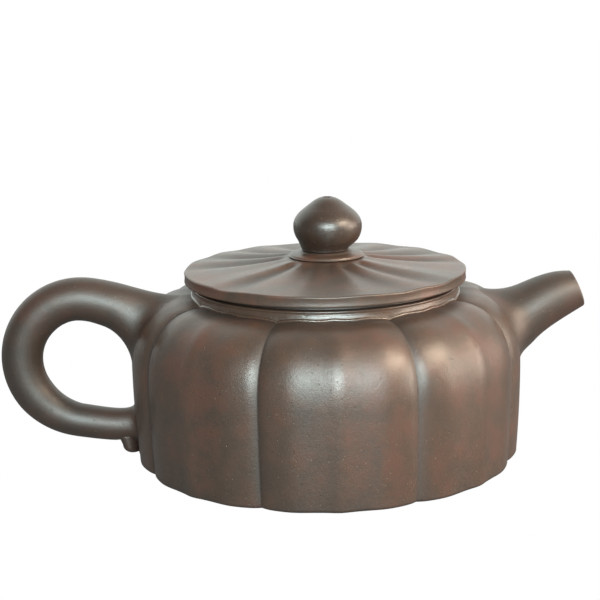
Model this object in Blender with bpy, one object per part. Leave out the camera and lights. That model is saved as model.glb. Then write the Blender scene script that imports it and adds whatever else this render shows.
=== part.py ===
"""Ribbed stoneware teapot, built as the clay pieces that a potter lutes together.

Axes: +Z up, +X towards the spout, -X towards the handle. The origin is on the
body's axis, on the plane that the pot stands on. All sizes are in metres.
"""
import bpy
import numpy as np

MM = 0.001

# The gap between two pieces that touch, and the fit of the lid in the mouth
GAP = 0.3 * MM
LID_CLEARANCE = 0.4 * MM

# Body: eight lobes, each of three ribs, with a flat base and a round shoulder
BODY_RADIUS = 56.5 * MM
BODY_HEIGHT = 47.8 * MM
BELLY_HEIGHT = 26.0 * MM
BASE_INSET = 1.2 * MM
BASE_FILLET = 1.4 * MM
FOOT_WIDTH = 6.5 * MM
SHOULDER_POWER = 2.4
WALL = 3.6 * MM
LOBES = 8
LOBE_DEPTH = 1.3 * MM
RIB_DEPTH = 0.5 * MM
MIDDLE_RIB_SHARE = 0.28
BASE_THICKNESS = 3.4 * MM
BASE_CHAMFER = 0.5 * MM

# Neck and mouth: two rings laid on the shoulder
MOUTH_RADIUS = 33.2 * MM
NECK_RADIUS = 38.6 * MM
NECK_BAND_HEIGHT = 1.6 * MM
MOUTH_RING_HEIGHT = 0.9 * MM
NECK_WALL = 4.1 * MM
SHOULDER_LIP = 0.5 * MM
# The grooves reach their full depth this early in the shoulder's run (1 would be its end)
GROOVE_FADE = 1.6
RING_CHAMFER = 0.25 * MM

# Lid: a fluted plate, the flange under it, and the knob on its seat
LID_OVERHANG = 1.9 * MM
LID_EDGE = 2.8 * MM
LID_RISE = 3.6 * MM
LID_RISE_POWER = 1.3
LID_EDGE_ROUND = 0.6 * MM
LID_EDGE_DROP = 0.4 * MM
LID_THICKNESS = 3.2 * MM
LID_DOME_SHARE = 0.45
LID_FLUTE_DEPTH = 0.4 * MM
# Shares of the flutes' depth: what is left of it at the rim, and what comes from the lobes
LID_FLUTE_AT_RIM = 0.3
LID_FLUTE_FROM_LOBE = 0.6
# Rings of points between the seat and the rim, as shares of the way
LID_RINGS = (0.28, 0.58)
FLANGE_DEPTH = 6.9 * MM
FLANGE_WALL = 2.4 * MM
SEAT_RADIUS = 10.5 * MM
SEAT_THICKNESS = 0.9 * MM
SEAT_STEP = 0.6 * MM
SEAT_CHAMFER = 0.3 * MM
SEAT_STEP_MARGIN = 0.3 * MM
SEAT_STEP_SLOPE = 0.2 * MM
KNOB_NECK_RADIUS = 6.6 * MM
KNOB_RADIUS = 9.7 * MM
KNOB_HEIGHT = 15.0 * MM
KNOB_BELLY = 6.5 * MM
KNOB_TIP_RADIUS = 1.6 * MM
KNOB_TIP_DISH = 0.2 * MM
VENT_RADIUS = 0.9 * MM
# How the bud's outline is pulled: shares of its radius, then of the height above or
# below its belly
KNOB_TIP_PULL = (0.47, 0.73)
KNOB_BELLY_PULL_UP = 0.52
KNOB_BELLY_PULL_DOWN = 0.5
KNOB_NECK_PULL = (1.15, 0.14)

# Spout: a tapered, bent tube, and the domed strainer behind it
SPOUT_REACH = 17.9 * MM
SPOUT_TIP_DROP = 1.5 * MM
SPOUT_ROOT_DROP = 14.3 * MM
SPOUT_ROOT_SINK = 6.5 * MM
SPOUT_TIP_RADIUS = 5.35 * MM
SPOUT_FLARE = 5.0 * MM
SPOUT_FLARE_POWER = 1.1
# The two points that bend the spout's middle line, as shares of its run and of its rise
SPOUT_BEND = ((0.31, 0.51), (0.68, 0.79))
SPOUT_TIP_BORE = 3.8 * MM
SPOUT_ROOT_BORE = 6.2 * MM
STRAINER_RADIUS = 9.0 * MM
STRAINER_WALL = 1.4 * MM
STRAINER_HOLE = 0.9 * MM
# Rings of holes: how many, their tilt from the middle in radians, their turn in steps
STRAINER_HOLE_RINGS = ((1, 0.0, 0.0), (6, 0.60, 0.0), (6, 1.12, 0.5))
# Where a pin starts and ends, as shares of the dome's radius
PIN_REACH = (0.7, 1.15)

# Handle: a tapered loop, thick at the top and slim at its foot, and its tail
HANDLE_REACH = 30.0 * MM
HANDLE_TOP_DROP = 1.0 * MM
HANDLE_ROOT_DROP = 7.8 * MM
HANDLE_FOOT_HEIGHT = 8.7 * MM
HANDLE_RADIUS = 6.0 * MM
HANDLE_FOOT_RADIUS = 4.7 * MM
HANDLE_ROOT_RADIUS = 7.6 * MM
HANDLE_SINK = 4.0 * MM
# Points that bend the handle's middle line between its two ends: how far out from the
# wall, as a share of the reach, and how high, as a share of the way from foot to top
HANDLE_BEND = (
    (0.06, 0.932),
    (0.285, 1.0),
    (0.465, 1.0),
    (0.77, 1.0),
    (1.0, 0.802),
    (1.0, 0.56),
    (1.0, 0.297),
    (0.755, 0.076),
    (0.425, 0.035),
    (0.268, 0.011),
    (0.095, 0.0),
)
# Where along the handle each of its radii is reached, as shares of its length
HANDLE_RADII_AT = (0.0, 0.14, 0.25, 0.55, 0.85, 1.0)
# Just inside either end the handle is this much thicker than the radius it runs to
HANDLE_EASE = 1.04
TAIL_RADIUS = 2.9 * MM
TAIL_CLEAR = 0.9 * MM
# The tail's middle lies this many radii out from the wall, and it is a little oval
TAIL_PLACE = 0.75
TAIL_OVAL = 1.15
# The tail's rounded end: how deep it is and how wide its flat tip is, in radii
TAIL_END_DEPTH = 0.55
TAIL_TIP = 0.35

# How finely the round surfaces are divided
STEPS_PER_RIB = 3
SHOULDER_RINGS = 7
WALL_RINGS = 2
TURN_STEPS = 48
SMALL_TURN_STEPS = 28
HANDLE_SIDES = 16
SPOUT_SIDES = 20
BORE_SIDES = 14
DOME_SIDES = 16
DOME_RINGS = 9
# A part of a step, so that no corner of the dome meets a corner of a pin
DOME_TURN = 0.3
PIN_SIDES = 8
TAIL_SIDES = 16
TAIL_RINGS = 5
HANDLE_SPAN_STEPS = 7
SPOUT_STEPS = 13
BORE_STEPS = 9
KNOB_UPPER_STEPS = 8
KNOB_LOWER_STEPS = 6
MERGE_DISTANCE = 0.00001

# Places that follow from the sizes above
NECK_BOTTOM = BODY_HEIGHT + GAP
NECK_TOP = NECK_BOTTOM + NECK_BAND_HEIGHT
MOUTH_TOP = NECK_TOP + GAP + MOUTH_RING_HEIGHT
LID_UNDERSIDE = MOUTH_TOP + GAP
LID_RADIUS = NECK_RADIUS + LID_OVERHANG
LID_EDGE_TOP = LID_UNDERSIDE + LID_EDGE
LID_TOP = LID_EDGE_TOP + LID_RISE
SEAT_BOTTOM = LID_TOP + GAP
KNOB_BOTTOM = SEAT_BOTTOM + SEAT_THICKNESS + SEAT_STEP + GAP
FLANGE_RADIUS = MOUTH_RADIUS - LID_CLEARANCE
THROAT_RADIUS = NECK_RADIUS - NECK_WALL
SHOULDER_RADIUS = NECK_RADIUS + SHOULDER_LIP
FOOT_INNER_RADIUS = BODY_RADIUS - BASE_INSET - FOOT_WIDTH

CLAY = {
    "body_wall": (0.150, 0.085, 0.066, 0.42),
    "base_slab": (0.140, 0.080, 0.062, 0.60),
    "neck_band": (0.155, 0.090, 0.070, 0.42),
    "mouth_ring": (0.145, 0.085, 0.067, 0.45),
    "spout": (0.165, 0.088, 0.066, 0.40),
    "strainer": (0.140, 0.078, 0.060, 0.65),
    "handle": (0.160, 0.082, 0.064, 0.38),
    "handle_tail": (0.145, 0.078, 0.061, 0.42),
    "lid_plate": (0.155, 0.092, 0.074, 0.45),
    "lid_flange": (0.140, 0.080, 0.062, 0.60),
    "knob_seat": (0.160, 0.090, 0.070, 0.42),
    "knob": (0.150, 0.086, 0.068, 0.36),
}


def clay(name):
    """The unglazed clay of one piece: its own colour and roughness, no metal."""
    material = bpy.data.materials.new(f"{name}_clay")
    material.use_nodes = True
    shader = material.node_tree.nodes["Principled BSDF"]
    red, green, blue, roughness = CLAY[name]
    shader.inputs["Base Color"].default_value = (red, green, blue, 1)
    shader.inputs["Roughness"].default_value = roughness
    shader.inputs["Metallic"].default_value = 0
    return material


def add_object(name, points, faces, smooth_angle=35):
    """A mesh object from points and faces; one with no entry in CLAY is a cutter."""
    mesh = bpy.data.meshes.new(name)
    mesh.from_pydata([tuple(p) for p in points], [], [tuple(f) for f in faces])
    mesh.shade_smooth()
    mesh.set_sharp_from_angle(angle=np.radians(smooth_angle))
    item = bpy.data.objects.new(name, mesh)
    bpy.context.scene.collection.objects.link(item)
    if name in CLAY:
        mesh.materials.append(clay(name))
    else:
        item.hide_render = True
        item.display_type = "WIRE"
    return item


def skin(rings, closed):
    """Triangles between consecutive rings of points, and round each ring.

    With closed set the last ring joins the first; otherwise both end rings are
    filled with fans round a middle point. The rings turn anticlockwise as seen
    from where the rings run to."""
    count, around = rings.shape[:2]
    i, j = np.meshgrid(np.arange(count if closed else count - 1), np.arange(around))
    i, j = i.ravel(), j.ravel()
    a = i * around + j
    b = i * around + (j + 1) % around
    c = (i + 1) % count * around + (j + 1) % around
    d = (i + 1) % count * around + j
    faces = np.concatenate([np.stack([a, b, c], 1), np.stack([a, c, d], 1)])
    points = rings.reshape(-1, 3)
    if not closed:
        first, last = count * around, count * around + 1
        points = np.concatenate([points, [rings[0].mean(0)], [rings[-1].mean(0)]])
        k = np.arange(around)
        n = (k + 1) % around
        top = (count - 1) * around
        start_fan = np.stack([np.full(around, first), n, k], 1)
        end_fan = np.stack([np.full(around, last), top + k, top + n], 1)
        faces = np.concatenate([faces, start_fan, end_fan])
    return points, faces


def cut(item, cutter, operation="DIFFERENCE"):
    """Adds an exact Boolean of the cutter to the item."""
    boolean = item.modifiers.new(f"{operation.lower()}_{cutter.name}", "BOOLEAN")
    boolean.operation = operation
    boolean.solver = "EXACT"
    boolean.object = cutter


def turned(name, outline, steps):
    """A closed outline of (radius, height), down its outer side, turned about Z."""
    mesh_points = [(radius, 0, height) for radius, height in outline]
    mesh = bpy.data.meshes.new(name)
    count = len(mesh_points)
    mesh.from_pydata(mesh_points, [(k, (k + 1) % count) for k in range(count)], [])
    item = bpy.data.objects.new(name, mesh)
    bpy.context.scene.collection.objects.link(item)
    mesh.materials.append(clay(name))
    screw = item.modifiers.new("turn", "SCREW")
    screw.steps = steps
    screw.render_steps = steps
    screw.use_merge_vertices = True
    screw.merge_threshold = MERGE_DISTANCE
    screw.use_smooth_shade = True
    return item


def band(outer, inner, top, bottom, chamfer):
    """Outline of a flat ring with its two outer edges chamfered."""
    return [
        (outer - chamfer, top),
        (outer, top - chamfer),
        (outer, bottom + chamfer),
        (outer - chamfer, bottom),
        (inner, bottom),
        (inner, top),
    ]


def bezier(start, first, second, end, count):
    """Points along a cubic Bezier curve, both ends included."""
    t = np.linspace(0, 1, count)[:, None]
    start, first, second, end = (np.array(p) for p in (start, first, second, end))
    return (1 - t) ** 3 * start + 3 * t * (1 - t) ** 2 * first + 3 * t**2 * (1 - t) * second + t**3 * end


# ---- the lobed body ----


def lobe_angles():
    """Angles round the body that fall on every groove between ribs."""
    lobe = 2 * np.pi / LOBES
    side = lobe * (1 - MIDDLE_RIB_SHARE) / 2
    edges = np.array([-lobe / 2, -lobe / 2 + side, lobe / 2 - side, lobe / 2])
    steps = np.arange(STEPS_PER_RIB) / STEPS_PER_RIB
    one = np.concatenate([a + (b - a) * steps for a, b in zip(edges, edges[1:])])
    return np.concatenate([one + k * lobe for k in range(LOBES)])


def groove_depth(angle):
    """How far the lobed surface lies inside the crest, as (lobe share, rib share).

    Across a lobe the first grows as the cube of the distance from its middle, so
    neighbouring lobes meet in a crease. The second is a shallow arch on each rib."""
    lobe = 2 * np.pi / LOBES
    across = (angle + lobe / 2) % lobe / lobe * 2 - 1
    half_middle = MIDDLE_RIB_SHARE
    side_middle = (1 + half_middle) / 2
    side_half = (1 - half_middle) / 2
    from_rib = np.where(
        np.abs(across) < half_middle,
        across / half_middle,
        (np.abs(across) - side_middle) / side_half,
    )
    return np.abs(across) ** 3, from_rib**2


def body_profile(inset):
    """Crest line of the body as (radius, height, depth of grooves as a share).

    It runs from the neck over a superellipse shoulder, down a wall that leans in
    a little, to a rounded edge at the base. The inset moves it inwards."""
    belly = BODY_RADIUS - inset
    start = SHOULDER_RADIUS
    turn = np.linspace(0.0, np.pi / 2, SHOULDER_RINGS + 1)
    power = 2 / SHOULDER_POWER
    reach = np.sin(turn) ** power
    shoulder_r = start + (belly - start) * reach
    shoulder_z = BELLY_HEIGHT + (BODY_HEIGHT - inset - BELLY_HEIGHT) * np.cos(turn) ** power
    shoulder_share = np.clip(reach * GROOVE_FADE, 0.0, 1.0)
    down = np.linspace(0, 1, WALL_RINGS + 1)[1:]
    wall_z = BELLY_HEIGHT + (BASE_FILLET - BELLY_HEIGHT) * down
    wall_r = belly - BASE_INSET * down**2
    radius = np.concatenate([shoulder_r, wall_r])
    height = np.concatenate([shoulder_z, wall_z])
    share = np.concatenate([shoulder_share, np.ones(WALL_RINGS)])
    return radius, height, share


def lobed_rings(grow=0.0):
    """Rings of the body's outer surface, from the base edge up to the neck."""
    radius, height, share = body_profile(-grow)
    radius = np.append(radius, radius[-1] - BASE_FILLET)
    height = np.append(height, -grow)
    share = np.append(share, 1.0)
    angle = lobe_angles()
    lobe, rib = groove_depth(angle)
    depth = share[:, None] * (LOBE_DEPTH * lobe + RIB_DEPTH * rib)
    lean = np.gradient(radius, np.arange(len(radius)))
    drop = -np.gradient(height, np.arange(len(height)))
    length = np.hypot(lean, drop)
    out = (drop / length)[:, None]
    up = (lean / length)[:, None]
    out[-1], up[-1] = 1.0, 0.0
    r = radius[:, None] - depth * out
    z = height[:, None] - depth * up * (share[:, None] > 0)
    rings = np.stack([r * np.cos(angle), r * np.sin(angle), z + 0 * angle], 2)
    return rings[::-1]


def round_rings(inset):
    """Rings of the smooth surface inside the body, from the foot up to the throat."""
    radius, height, _ = body_profile(inset)
    radius[0] = THROAT_RADIUS
    radius[-1] = FOOT_INNER_RADIUS + WALL - inset
    height[-1] = BASE_THICKNESS
    radius = np.append(radius, radius[-1])
    height = np.append(height, 0.0)
    return np.array([flat_ring(r, z) for r, z in zip(radius, height)])[::-1]


def flat_ring(radius, height):
    """One round ring of points at the body's own angles."""
    angle = lobe_angles()
    return np.stack([radius * np.cos(angle), radius * np.sin(angle), np.full(len(angle), height)], 1)


def body_wall(bore):
    """The lobed wall: outer skin up, over the flat shoulder top, and down inside."""
    outer = lobed_rings()
    inner = round_rings(WALL)
    throat = flat_ring(THROAT_RADIUS, BODY_HEIGHT)
    rings = np.concatenate([outer, [throat], inner[::-1]])
    item = add_object("body_wall", *skin(rings, closed=True), smooth_angle=40)
    cut(item, bore)
    return item


def body_cutter():
    """The body's outer shape grown by the gap, which trims what is luted to it."""
    return add_object("body_cutter", *skin(lobed_rings(grow=GAP), closed=False))


def cavity():
    """The space inside the wall, shrunk by the gap, which trims the strainer."""
    return add_object("cavity", *skin(round_rings(WALL + GAP), closed=False))


def base_slab_outline():
    """The slab let into the foot of the wall."""
    edge = FOOT_INNER_RADIUS - GAP
    return [
        (0.0, BASE_THICKNESS),
        (edge, BASE_THICKNESS),
        (edge, BASE_CHAMFER),
        (edge - BASE_CHAMFER, 0.0),
        (0.0, 0.0),
    ]


# ---- spout and strainer ----


def tube(path, normals, radius_in, radius_across, sides):
    """Rings round a path in the XZ plane: one radius in that plane, one along Y."""
    turn = np.arange(sides) / sides * 2 * np.pi
    in_plane = np.cos(turn)[None, :, None] * normals[:, None, :] * radius_in[:, None, None]
    across = np.sin(turn)[None, :, None] * np.array([0.0, -1.0, 0.0]) * radius_across[:, None, None]
    return path[:, None, :] + in_plane + across


def plane_path(points):
    """A path of (x, z) as 3-D points, with its unit normals in the XZ plane."""
    step = np.gradient(points, axis=0)
    step /= np.linalg.norm(step, axis=1)[:, None]
    flat = np.zeros(len(points))
    path = np.stack([points[:, 0], flat, points[:, 1]], 1)
    normals = np.stack([-step[:, 1], flat, step[:, 0]], 1)
    return path, normals


def spout_line(count):
    """Middle line of the spout, from inside the wall to its tip."""
    root = (BODY_RADIUS - SPOUT_ROOT_SINK, BODY_HEIGHT - SPOUT_ROOT_DROP)
    tip = (BODY_RADIUS + SPOUT_REACH, BODY_HEIGHT - SPOUT_TIP_DROP)
    run = tip[0] - root[0]
    rise = tip[1] - root[1]
    first, second = ((root[0] + out * run, root[1] + up * rise) for out, up in SPOUT_BEND)
    return bezier(root, first, second, tip, count)


def spout(bore, body):
    """The spout: thick at its root, slim at its tip, trimmed to the body."""
    path, normals = plane_path(spout_line(SPOUT_STEPS))
    back = np.linspace(1, 0, len(path))
    radius = SPOUT_TIP_RADIUS + SPOUT_FLARE * back**SPOUT_FLARE_POWER
    item = add_object("spout", *skin(tube(path, normals, radius, radius, SPOUT_SIDES), closed=False))
    cut(item, body)
    cut(item, bore)
    return item


def spout_bore():
    """The channel: from inside the strainer, through the wall, out of the tip."""
    line = spout_line(BORE_STEPS)
    before = line[0] - (line[1] - line[0])
    after = line[-1] + (line[-1] - line[-2])
    path, normals = plane_path(np.concatenate([[before], line, [after]]))
    radius = np.linspace(SPOUT_ROOT_BORE, SPOUT_TIP_BORE, len(line))
    radius = np.concatenate([[SPOUT_ROOT_BORE], radius, [SPOUT_TIP_BORE]])
    return add_object("spout_bore", *skin(tube(path, normals, radius, radius, BORE_SIDES), closed=False))


def strainer(room):
    """A dome of clay over the wall's opening, pierced by radial holes."""
    centre = np.array([BODY_RADIUS - WALL - GAP, 0.0, BODY_HEIGHT - SPOUT_ROOT_DROP])
    down = np.linspace(0, np.pi, DOME_RINGS + 2)[1:-1, None]
    turn = (np.arange(DOME_SIDES) + DOME_TURN) / DOME_SIDES * 2 * np.pi
    round_it = np.sin(down)
    ball = np.stack([-np.cos(down) + 0 * turn, round_it * np.cos(turn), round_it * np.sin(turn)], 2)
    shells = [centre + radius * ball for radius in (STRAINER_RADIUS, STRAINER_RADIUS - STRAINER_WALL)]
    item = add_object("strainer", *skin(shells[0], closed=False))
    hollow = add_object("strainer_hollow", *skin(shells[1], closed=False))
    cut(item, hollow)
    cut(item, strainer_holes(centre))
    cut(item, room, "INTERSECT")
    return item


def strainer_holes(centre):
    """Pins that pierce the dome: one in the middle and rings round it."""
    pins = [
        (tilt, (k + step) / count * 2 * np.pi)
        for count, tilt, step in STRAINER_HOLE_RINGS
        for k in range(count)
    ]
    points = []
    faces = []
    used = 0
    turn = np.arange(PIN_SIDES) / PIN_SIDES * 2 * np.pi
    for tilt, round_axis in pins:
        sideways = np.array([0.0, np.cos(round_axis), np.sin(round_axis)])
        way = np.sin(tilt) * sideways - [np.cos(tilt), 0.0, 0.0]
        side = np.cross(way, [0.0, np.sin(round_axis), -np.cos(round_axis)])
        other = np.cross(way, side)
        ring = STRAINER_HOLE * (np.cos(turn)[:, None] * side + np.sin(turn)[:, None] * other)
        ends = [centre + way * STRAINER_RADIUS * share for share in PIN_REACH]
        pin_points, pin_faces = skin(np.array([ring + e for e in ends]), closed=False)
        points.append(pin_points)
        faces.append(pin_faces + used)
        used += len(pin_points)
    return add_object("strainer_holes", np.concatenate(points), np.concatenate(faces))


# ---- handle ----


def handle_line(count):
    """Middle line of the handle: four curves, out of the shoulder and round to the foot."""
    end = -BODY_RADIUS + HANDLE_SINK
    foot = HANDLE_FOOT_HEIGHT
    climb = BODY_HEIGHT - HANDLE_TOP_DROP - foot
    points = [(end, BODY_HEIGHT - HANDLE_ROOT_DROP)]
    points += [(-BODY_RADIUS - out * HANDLE_REACH, foot + up * climb) for out, up in HANDLE_BEND]
    points.append((end, foot))
    curves = [bezier(*points[k:k + 4], count) for k in range(0, len(points) - 1, 3)]
    return np.concatenate([curves[0]] + [curve[1:] for curve in curves[1:]])


def handle_rings(grow=0.0):
    """Rings of the handle: it swells into the shoulder and slims to the foot."""
    line = handle_line(HANDLE_SPAN_STEPS)
    path, normals = plane_path(line)
    along = np.concatenate([[0], np.cumsum(np.linalg.norm(np.diff(line, axis=0), axis=1))])
    along /= along[-1]
    radii = [
        HANDLE_ROOT_RADIUS,
        HANDLE_RADIUS * HANDLE_EASE,
        HANDLE_RADIUS,
        HANDLE_RADIUS,
        HANDLE_FOOT_RADIUS * HANDLE_EASE,
        HANDLE_FOOT_RADIUS,
    ]
    radius = np.interp(along, HANDLE_RADII_AT, radii)
    return tube(path, normals, radius + grow, radius + grow, HANDLE_SIDES)


def handle(body):
    """The handle, trimmed to the body at both ends."""
    item = add_object("handle", *skin(handle_rings(), closed=False))
    cut(item, body)
    return item


def handle_tail(body):
    """The lug under the handle's foot, trimmed to the handle and to the body."""
    middle = -BODY_RADIUS - TAIL_RADIUS * TAIL_PLACE
    turn = np.linspace(0, np.pi / 2, TAIL_RINGS)
    rounded = TAIL_CLEAR + TAIL_RADIUS * TAIL_END_DEPTH * (1 - np.cos(turn))
    height = np.append(rounded, HANDLE_FOOT_HEIGHT)
    radius = TAIL_RADIUS * np.append(TAIL_TIP + (1 - TAIL_TIP) * np.sin(turn), 1.0)
    angle = np.arange(TAIL_SIDES) / TAIL_SIDES * 2 * np.pi
    rings = np.stack([
        middle + np.outer(radius, np.cos(angle)) * TAIL_OVAL,
        np.outer(radius, np.sin(angle)),
        np.outer(height, np.ones(TAIL_SIDES)),
    ], 2)
    item = add_object("handle_tail", *skin(rings, closed=False))
    grown = add_object("handle_cutter", *skin(handle_rings(grow=GAP), closed=False))
    cut(item, grown)
    cut(item, body)
    return item


# ---- lid ----


def lid_height(radius, angle):
    """Height of the lid's top: a low hill up to the seat, with a flute over each rib.

    The flutes are deepest halfway out and fade towards the seat."""
    run = np.clip((radius - SEAT_RADIUS) / (LID_RADIUS - SEAT_RADIUS), 0, 1)
    hill = LID_EDGE_TOP + LID_RISE * (1 - run) ** LID_RISE_POWER
    lobe, rib = groove_depth(angle)
    fade = (1 - LID_FLUTE_AT_RIM) * np.sin(np.pi * run) + LID_FLUTE_AT_RIM * (run > 0)
    flute = LID_FLUTE_FROM_LOBE * lobe + (1 - LID_FLUTE_FROM_LOBE) * rib
    return hill - LID_FLUTE_DEPTH * fade * flute


def lid_plate():
    """The lid's plate: fluted on top, flat where it rests, domed inside the flange."""
    angle = lobe_angles()
    inside = FLANGE_RADIUS - FLANGE_WALL
    across = LID_RADIUS - SEAT_RADIUS
    top = [VENT_RADIUS, SEAT_RADIUS] + [SEAT_RADIUS + share * across for share in LID_RINGS]
    top.append(LID_RADIUS - LID_EDGE_ROUND)
    level = np.ones(len(angle))
    under = (inside * LID_DOME_SHARE, VENT_RADIUS)
    rings = [(radius, (lid_height(radius, 0.0) - LID_THICKNESS) * level) for radius in under]
    rings += [(radius, lid_height(radius, angle)) for radius in top]
    rings.append((LID_RADIUS, lid_height(LID_RADIUS, angle) - LID_EDGE_DROP))
    rings.append((LID_RADIUS, LID_UNDERSIDE * level))
    rings.append((inside, LID_UNDERSIDE * level))
    stack = np.array([np.stack([r * np.cos(angle), r * np.sin(angle), z], 1) for r, z in rings])
    return add_object("lid_plate", *skin(stack[::-1], closed=True))


def lid_flange_outline():
    """The ring under the lid that drops into the mouth."""
    top = LID_UNDERSIDE - GAP
    return band(FLANGE_RADIUS, FLANGE_RADIUS - FLANGE_WALL, top, top - FLANGE_DEPTH, RING_CHAMFER)


def knob_seat_outline():
    """The seat: a thin round plate with a step that carries the knob's neck."""
    low = SEAT_BOTTOM
    high = low + SEAT_THICKNESS
    step = KNOB_NECK_RADIUS + SEAT_STEP_MARGIN
    return [
        (step, high + SEAT_STEP),
        (step + SEAT_STEP_SLOPE, high),
        (SEAT_RADIUS - SEAT_CHAMFER, high),
        (SEAT_RADIUS, high - SEAT_CHAMFER),
        (SEAT_RADIUS, low + SEAT_CHAMFER),
        (SEAT_RADIUS - SEAT_CHAMFER, low),
        (VENT_RADIUS, low),
        (VENT_RADIUS, high + SEAT_STEP),
    ]


def knob_outline():
    """A bud on a short neck, with the vent hole down its middle."""
    low = KNOB_BOTTOM
    belly = low + KNOB_BELLY
    top = low + KNOB_HEIGHT
    widest = (KNOB_RADIUS, belly)
    tip_pull = (KNOB_RADIUS * KNOB_TIP_PULL[0], belly + KNOB_TIP_PULL[1] * (top - belly))
    up_pull = (KNOB_RADIUS, belly + KNOB_BELLY_PULL_UP * (top - belly))
    down_pull = (KNOB_RADIUS, belly - KNOB_BELLY_PULL_DOWN * KNOB_BELLY)
    neck_pull = (KNOB_NECK_RADIUS * KNOB_NECK_PULL[0], low + KNOB_NECK_PULL[1] * KNOB_BELLY)
    upper = bezier((KNOB_TIP_RADIUS, top), tip_pull, up_pull, widest, KNOB_UPPER_STEPS)
    lower = bezier(widest, down_pull, neck_pull, (KNOB_NECK_RADIUS, low), KNOB_LOWER_STEPS)
    outer = [tuple(p) for p in np.concatenate([upper, lower[1:]])]
    return outer + [(VENT_RADIUS, low), (VENT_RADIUS, top - KNOB_TIP_DISH)]


def main():
    for item in list(bpy.data.objects):
        bpy.data.objects.remove(item)
    bore = spout_bore()
    body = body_cutter()
    body_wall(bore)
    neck = band(NECK_RADIUS, THROAT_RADIUS, NECK_TOP, NECK_BOTTOM, RING_CHAMFER)
    mouth = band(NECK_RADIUS, MOUTH_RADIUS, MOUTH_TOP, NECK_TOP + GAP, RING_CHAMFER)
    turned("base_slab", base_slab_outline(), TURN_STEPS)
    turned("neck_band", neck, TURN_STEPS)
    turned("mouth_ring", mouth, TURN_STEPS)
    spout(bore, body)
    strainer(cavity())
    handle(body)
    handle_tail(body)
    lid_plate()
    turned("lid_flange", lid_flange_outline(), TURN_STEPS)
    turned("knob_seat", knob_seat_outline(), SMALL_TURN_STEPS)
    turned("knob", knob_outline(), SMALL_TURN_STEPS)


main()
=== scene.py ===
"""Looks of the ribbed stoneware teapot: its clay surfaces, materials, light and camera.

Every new piece is a numpy surface of two parameters, worked out in millimetres in the
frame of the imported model: +Z up, +X towards the spout, the origin under the body's axis.
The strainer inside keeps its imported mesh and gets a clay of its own.
"""

import bpy
import numpy as np
from mathutils import Matrix, Vector


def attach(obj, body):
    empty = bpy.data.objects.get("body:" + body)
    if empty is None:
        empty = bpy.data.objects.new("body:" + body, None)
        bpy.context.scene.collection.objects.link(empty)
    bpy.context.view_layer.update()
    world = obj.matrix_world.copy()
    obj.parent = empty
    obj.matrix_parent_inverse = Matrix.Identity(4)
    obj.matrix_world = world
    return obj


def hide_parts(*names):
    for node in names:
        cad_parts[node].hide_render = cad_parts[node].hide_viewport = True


MM = 0.001
FULL_TURN = 2 * np.pi

# Body
BODY_RADIUS = 56.5
BODY_HEIGHT = 47.3
BELLY_HEIGHT = 26.0
BASE_INSET = 0.8
BASE_FILLET = 1.2
SHOULDER_START = 39.1
SHOULDER_POWER = 2.4
NECK_START = 38.2
WALL = 3.6
BASE_THICKNESS = 3.4
FOOT_INNER_RADIUS = 48.8
THROAT_RADIUS = 34.5
LOBES = 8
HALF_LOBE = 180.0 / LOBES
RIDGE_HEIGHT = 0.42
RIDGE_WIDTH = 3.0
VALLEY_ANGLE = 6.4
SIDE_RIB_ANGLE = 14.5
SIDE_RIB_HEIGHT = 0.40
LOBE_FALL = 1.6
LOBE_FALL_ANGLE = 8.0
CREASE_DEPTH = 0.40
CREASE_ANGLE = 19.0
COLUMNS_PER_LOBE = 80

# The way from the pot into the spout, cut through the wall
POUR_BOTTOM = 29.5
POUR_TOP = 39.5
POUR_HALF_ANGLE = 5.0

# Neck and mouth
MOUTH_RADIUS = 33.2
MOUTH_TOP = 50.9
MOUTH_FOOT = 50.05

# Lid and knob
LID_RADIUS = 40.5
LID_UNDERSIDE = 51.2
LID_EDGE_TOP = 54.35
LID_TOP = 57.6
LID_ROUNDING = 0.6
SEAT_RADIUS = 10.5
FLANGE_TOP = 50.9
FLANGE_RADIUS = 32.8
FLANGE_INNER = 30.4
FLANGE_BOTTOM = 44.0
VENT_RADIUS = 0.9
KNOB_BOTTOM = 59.7
KNOB_OFFSET = 0.85

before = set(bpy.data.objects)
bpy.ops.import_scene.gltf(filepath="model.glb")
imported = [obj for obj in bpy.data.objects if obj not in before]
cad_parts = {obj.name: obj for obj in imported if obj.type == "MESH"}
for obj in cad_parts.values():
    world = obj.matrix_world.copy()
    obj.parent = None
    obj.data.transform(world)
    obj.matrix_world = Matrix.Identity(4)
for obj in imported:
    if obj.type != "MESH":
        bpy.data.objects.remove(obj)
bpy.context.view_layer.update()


# ---- small numpy tools ----


def ease(x):
    """A smooth step: 0 below 0, 1 above 1, and 3x^2 - 2x^3 between."""
    x = np.clip(x, 0, 1)
    return x * x * (3 - 2 * x)


def bump(x, width):
    """A bell of height 1 at 0 that falls to 1/e at the width."""
    return np.exp(-((x / width) ** 2))


def unit(ways):
    """The ways, one in each row, shortened or stretched to length 1."""
    return ways / np.linalg.norm(ways, axis=-1, keepdims=True)


def run_along(line):
    """The distance along a line of points at each of them, from 0."""
    return np.concatenate([[0], np.cumsum(np.linalg.norm(np.diff(line, axis=0), axis=1))])


def bezier(points, count):
    """Points along a cubic Bezier curve, both ends included."""
    t = np.linspace(0, 1, count)[:, None]
    a, b, c, d = (np.array(p, float) for p in points)
    return (1 - t) ** 3 * a + 3 * t * (1 - t) ** 2 * b + 3 * t**2 * (1 - t) * c + t**3 * d


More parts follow.
